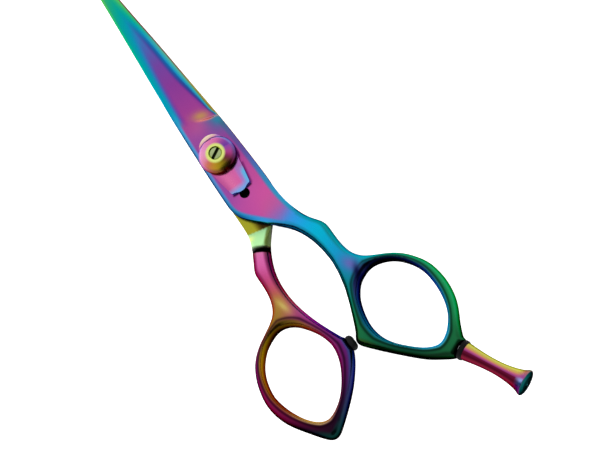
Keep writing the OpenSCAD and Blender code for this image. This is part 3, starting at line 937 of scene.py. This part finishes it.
# Materials for the halves; their base colour is the film attribute, with its painted light and
# shade.
def film_and_light_material(name):
    m = Mat(name)
    satin = m.attribute("satin", "Fac")
    mat = polished(m, m.attribute("film", "Color"), m.spread(satin, 0, 1, 0.2, 0.45))
    m.put(m.shader.inputs["Metallic"], m.spread(satin, 0, 1, 1.0, 0.1))
    return mat


def set_material(obj, mat):
    if not obj.material_slots:
        obj.data.materials.append(mat)
    for slot in obj.material_slots:
        slot.link = "OBJECT"
        slot.material = mat


def turned_steel(name, tint, rough=0.28):
    m = Mat(name)
    marks = m.noise(4000, 2, (0.1, 0.1, 1))
    cloud = m.spread(m.noise(300, 3), 0.3, 0.7)
    colour = m.mix(cloud, tint, tuple(0.82 * c for c in tint))
    m.bump(marks, 0.08, 0.00002)
    return m.finish(colour, m.spread(marks, 0.3, 0.7, rough - 0.06, rough + 0.1))


def soft(name, tint, rough, metallic=0.0, specular=0.5):
    m = Mat(name)
    m.shader.inputs["Specular IOR Level"].default_value = specular
    grain = m.noise(2500, 4)
    cloud = m.spread(m.noise(250, 3), 0.3, 0.7)
    colour = m.mix(cloud, tint, tuple(min(1, 1.35 * c + 0.01) for c in tint))
    m.bump(grain, 0.25, 0.00004)
    return m.finish(colour, m.spread(grain, 0.3, 0.7, rough - 0.08, rough + 0.08), metallic)


def dial_material():
    m = Mat("rainbow_dial_film_and_light")
    x, y, _ = m.millimetres()
    radius = m.math("SQRT", m.math("ADD", m.math("MULTIPLY", x, x), m.math("MULTIPLY", y, y)))
    turn = m.math("ARCTAN2", y, x)
    turn = m.math("FRACT", m.math("ADD", m.math("DIVIDE", turn, 2 * math.pi), 1.0))
    # These ramps run round the dial's axis and paint its light: the palest pinks, facing -X and
    # +Y, are painted highlight, and the dark olive and maroon facing -Y painted shade.
    cone = m.ramp(turn, [
        (0.00, (.44, .24, .62)), (0.06, (.52, .26, .62)), (0.12, (.74, .36, .62)),
        (0.18, (.86, .46, .66)),
        (0.30, (.88, .52, .72)), (0.40, (.92, .62, .80)), (0.50, (.90, .54, .64)),
        (0.56, (.80, .40, .30)),
        (0.64, (.76, .58, .14)), (0.73, (.58, .52, .08)), (0.80, (.40, .28, .08)),
        (0.86, (.44, .10, .26)),
        (0.92, (.74, .28, .56)), (1.00, (.50, .28, .66)),
    ], "B_SPLINE")
    edge = m.ramp(turn, [
        (0.00, (.44, .40, .66)), (0.12, (.48, .56, .76)), (0.25, (.58, .56, .84)),
        (0.38, (.72, .62, .86)),
        (0.50, (.80, .50, .72)), (0.58, (.62, .30, .28)), (0.68, (.44, .30, .10)),
        (0.78, (.26, .08, .10)),
        (0.88, (.34, .03, .20)), (1.00, (.44, .40, .66)),
    ], "B_SPLINE")
    colour = m.mix(m.spread(radius, 3.9, 4.5), cone, edge)
    colour = m.mix(m.spread(radius, 2.75, 2.2), colour, (.88, .92, .50))
    return polished(m, colour, 0.2, EVEN)


def plate_material():
    m = Mat("rainbow_plate_film_and_highlight")
    x, y, _ = m.millimetres()
    half_width = m.math("MULTIPLY_ADD", y, 0.176, 4.56)
    across = m.spread(m.math("DIVIDE", x, half_width), -1, 1)
    colour = m.ramp(across, [
        (0.0, (.76, .34, .60)), (0.30, (.88, .44, .66)), (0.62, (.85, .40, .66)),
        (0.78, (.68, .48, .78)), (0.93, (.40, .72, .92)),
    ])
    by_dial = m.math("MULTIPLY", m.spread(y, -7.2, -5.4), m.spread(across, 0.7, 0.85))
    tail, nose_highlight = m.spread(y, -9.0, -10.6), m.spread(y, 4.6, 5.8)
    colour = m.mix(by_dial, colour, (.70, .44, .74))
    colour = m.mix(tail, colour, (.48, .66, .92))
    # Painted highlight: the plate's round end past the dial turns cream where it catches the
    # light.
    colour = m.mix(nose_highlight, colour, (.94, .86, .74))
    return polished(m, colour, 0.2, EVEN)


def screw_material():
    m = Mat("screw_film_and_shade")
    x, y, z = m.millimetres()
    below = m.math("SUBTRACT", SCREW_TOP, z)
    turn = math.radians(SLOT_TURN)
    off_slot = m.math("MULTIPLY", x, -math.sin(turn))
    off_slot = m.math("MULTIPLY_ADD", y, math.cos(turn), off_slot)
    # Painted shade: the slot is darkened.
    slot_shade = m.spread(m.math("ABSOLUTE", off_slot), 0.52, 0.34)
    base = m.mix(m.noise(500, 2), (.70, .76, .56), (.60, .66, .42))
    colour = m.mix(slot_shade, base, (.12, .15, .05))
    # Painted shade: the screw darkens below its top, down in its seat.
    colour = m.mix(m.spread(below, 0.12, 0.42), colour, (.05, .07, .02))
    return polished(m, colour, 0.22, EVEN)


def rest_material():
    m = Mat("rainbow_rest_film_and_light")
    normal = m.add("ShaderNodeTexCoord").outputs["Normal"]
    axis = Vector((*REST_AXIS, 0.0))
    turn = m.spread(m.dot(normal, (-REST_AXIS[1], REST_AXIS[0], 0.0)), -1, 1)
    # The colour follows which way the surface faces across the rest's axis; the dark maroon where
    # it faces -X and -Y is painted shade.
    colour = m.ramp(turn, [
        (0.0, (.50, .20, .30)), (0.12, (.48, .12, .20)), (0.28, (.30, .04, .12)),
        (0.44, (.40, .07, .20)),
        (0.53, (.64, .26, .52)), (0.61, (.78, .42, .48)), (0.69, (.80, .62, .34)),
        (0.82, (.76, .74, .34)),
        (1.0, (.58, .60, .24)),
    ])
    along = m.math("SUBTRACT", m.dot(m.position(), axis / MM), REST_ROOT)
    # The bell's pale lavender, where its surface faces up, is a painted highlight.
    bell_colour = m.ramp(turn, [
        (0.0, (.48, .10, .34)), (0.18, (.34, .12, .38)), (0.34, (.12, .24, .42)),
        (0.46, (.56, .62, .86)),
        (0.58, (.62, .30, .56)), (0.80, (.66, .42, .40)), (1.0, (.34, .52, .38)),
    ])
    colour = m.mix(m.spread(along, 15.0, 16.8), colour, bell_colour)
    end_face = m.spread(m.dot(normal, axis), 0.6, 0.95)
    colour = m.mix(end_face, colour, (.20, .38, .38))
    return polished(m, colour, 0.2, EVEN)


SLOT_TURN = 28  # direction of the screw's slot, in degrees from +X
SCREW_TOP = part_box("dial_screw")[1][2] / MM
REST_ROOT = float(SEAT @ REST_AXIS) + WASHER_THICK

paint(finger, FINGER_FILM_AND_LIGHT, 1)
paint(thumb, THUMB_FILM_AND_LIGHT, -1)
set_material(finger, film_and_light_material("rainbow_finger_film_and_light"))
set_material(thumb, film_and_light_material("rainbow_thumb_film_and_light"))
WHITE_NYLON = (.88, .88, .84)
NODE_MATERIALS = {
    "tension_dial": dial_material(),
    "click_plate": plate_material(),
    "dial_screw": screw_material(),
    "finger_rest": rest_material(),
    "pivot_bolt": turned_steel("bolt_steel", (.72, .72, .74)),
    "cone_spring": turned_steel("spring_steel", (.66, .66, .70), 0.34),
    "rest_stud": turned_steel("stud_steel", (.70, .70, .72)),
    "pivot_bush": soft("bush_bronze", (.72, .55, .30), 0.4, 1.0),
    "thrust_washer": soft("thrust_nylon", WHITE_NYLON, 0.5),
    "ride_washer": soft("ride_nylon", WHITE_NYLON, 0.5),
    "rest_washer": soft("washer_rubber", (.012, .012, .016), 0.6, 0.0, 0.12),
    "ring_bumper": soft("bumper_rubber", (.025, .025, .03), 0.55, 0.0, 0.2),
}
for node, mat in NODE_MATERIALS.items():
    set_material(frame["nodes"][node], mat)

# ---------------------------------------------------------------- camera, floor, light

TILT, LEAN, ROLL = math.radians(20), math.radians(4), math.radians(35.2)
IMAGE = (600, 450)
PIVOT_PIXEL = (222.1, 159.4)  # where the pivot axis meets the ride plane in the picture
PIXEL = 0.00025  # metres that one pixel spans at the pivot
DISTANCE = 1.6
SENSOR = 36


def camera_axes():
    """The camera's right, up and back directions."""
    back = Vector((math.sin(LEAN) * math.cos(TILT), -math.cos(LEAN) * math.sin(TILT),
                   math.cos(LEAN) * math.cos(TILT)))
    back.normalize()
    up = (Vector((0, 1, 0)) - back * back.y).normalized()
    right = up.cross(back)
    return (right * math.cos(ROLL) - up * math.sin(ROLL),
            right * math.sin(ROLL) + up * math.cos(ROLL), back)


def linked(name, data):
    obj = bpy.data.objects.new(name, data)
    bpy.context.scene.collection.objects.link(obj)
    return obj


cam_right, cam_up, back = camera_axes()
aim = (Vector((0, 0, RIDE * MM)) + cam_right * (IMAGE[0] / 2 - PIVOT_PIXEL[0]) * PIXEL
       - cam_up * (IMAGE[1] / 2 - PIVOT_PIXEL[1]) * PIXEL)
camera = linked("camera", bpy.data.cameras.new("camera"))
camera.data.sensor_width = SENSOR
camera.data.lens = SENSOR * DISTANCE / (IMAGE[0] * PIXEL)
camera.data.clip_start = 0.05
camera.matrix_world = Matrix((cam_right, cam_up, back)).transposed().to_4x4()
camera.location = aim + back * DISTANCE
bpy.context.scene.camera = camera

FLOOR_HALF = 3
GLOW, CAMERA_GLOW = 0.25, 0.7  # the floor looks whiter to the camera than the metal sees it
floor_mesh = bpy.data.meshes.new("floor")
corners = [(x * FLOOR_HALF, y * FLOOR_HALF, 0) for x, y in ((-1, -1), (1, -1), (1, 1), (-1, 1))]
floor_mesh.from_pydata(corners, [], [(0, 1, 2, 3)])
floor = linked("floor", floor_mesh)
fm = Mat("pale_floor")
paper = fm.mix(fm.noise(40, 3), (.972, .972, .972), (.96, .96, .96))
floor_mesh.materials.append(fm.finish(paper, 0.7, 0.0))
fm.shader.inputs["Emission Color"].default_value = (1, 1, 1, 1)
seen = fm.add("ShaderNodeLightPath").outputs["Is Camera Ray"]
fm.put(fm.shader.inputs["Emission Strength"], fm.math("MULTIPLY_ADD", seen, CAMERA_GLOW, GLOW))

world = bpy.data.worlds.new("studio")
bpy.context.scene.world = world
world.use_nodes = True
tree = world.node_tree
background = tree.nodes["Background"]
direction = tree.nodes.new("ShaderNodeTexCoord").outputs["Generated"]


def toward(vector, start, end, low, high):
    """A strength that goes from low to high as a ray turns toward a direction."""
    dot = tree.nodes.new("ShaderNodeVectorMath")
    dot.operation = "DOT_PRODUCT"
    tree.links.new(direction, dot.inputs[0])
    dot.inputs[1].default_value = Vector(vector).normalized()
    node = tree.nodes.new("ShaderNodeMapRange")
    node.interpolation_type = "SMOOTHSTEP"
    tree.links.new(dot.outputs["Value"], node.inputs[0])
    for socket, v in zip(list(node.inputs)[1:], (start, end, low, high)):
        socket.default_value = v
    return node.outputs[0]


# An even white studio with one dark card low in front, which gives polished faces their depth.
card = toward((0.1, -0.94, 0.30), 0.72, 0.93, 1.0, 0.12)
ceiling = toward((0, 0, 1), 0.0, 0.8, 1.0, 0.92)
strength = tree.nodes.new("ShaderNodeMath")
strength.operation = "MULTIPLY"
tree.links.new(card, strength.inputs[0])
tree.links.new(ceiling, strength.inputs[1])
tree.links.new(strength.outputs[0], background.inputs["Strength"])
background.inputs["Color"].default_value = (1, 1, 1, 1)

key_data = bpy.data.lights.new("key", "AREA")
key_data.shape = "DISK"
key_data.size = 0.5
key_data.energy = 4.0
key = linked("key", key_data)
key.visible_glossy = False
key.location = (-0.45, 0.35, 0.9)
key.rotation_euler = (Vector((0, -0.01, 0)) - key.location).to_track_quat("-Z", "Y").to_euler()

view_settings = bpy.context.scene.view_settings
view_settings.view_transform = "Standard"
view_settings.look = "None"
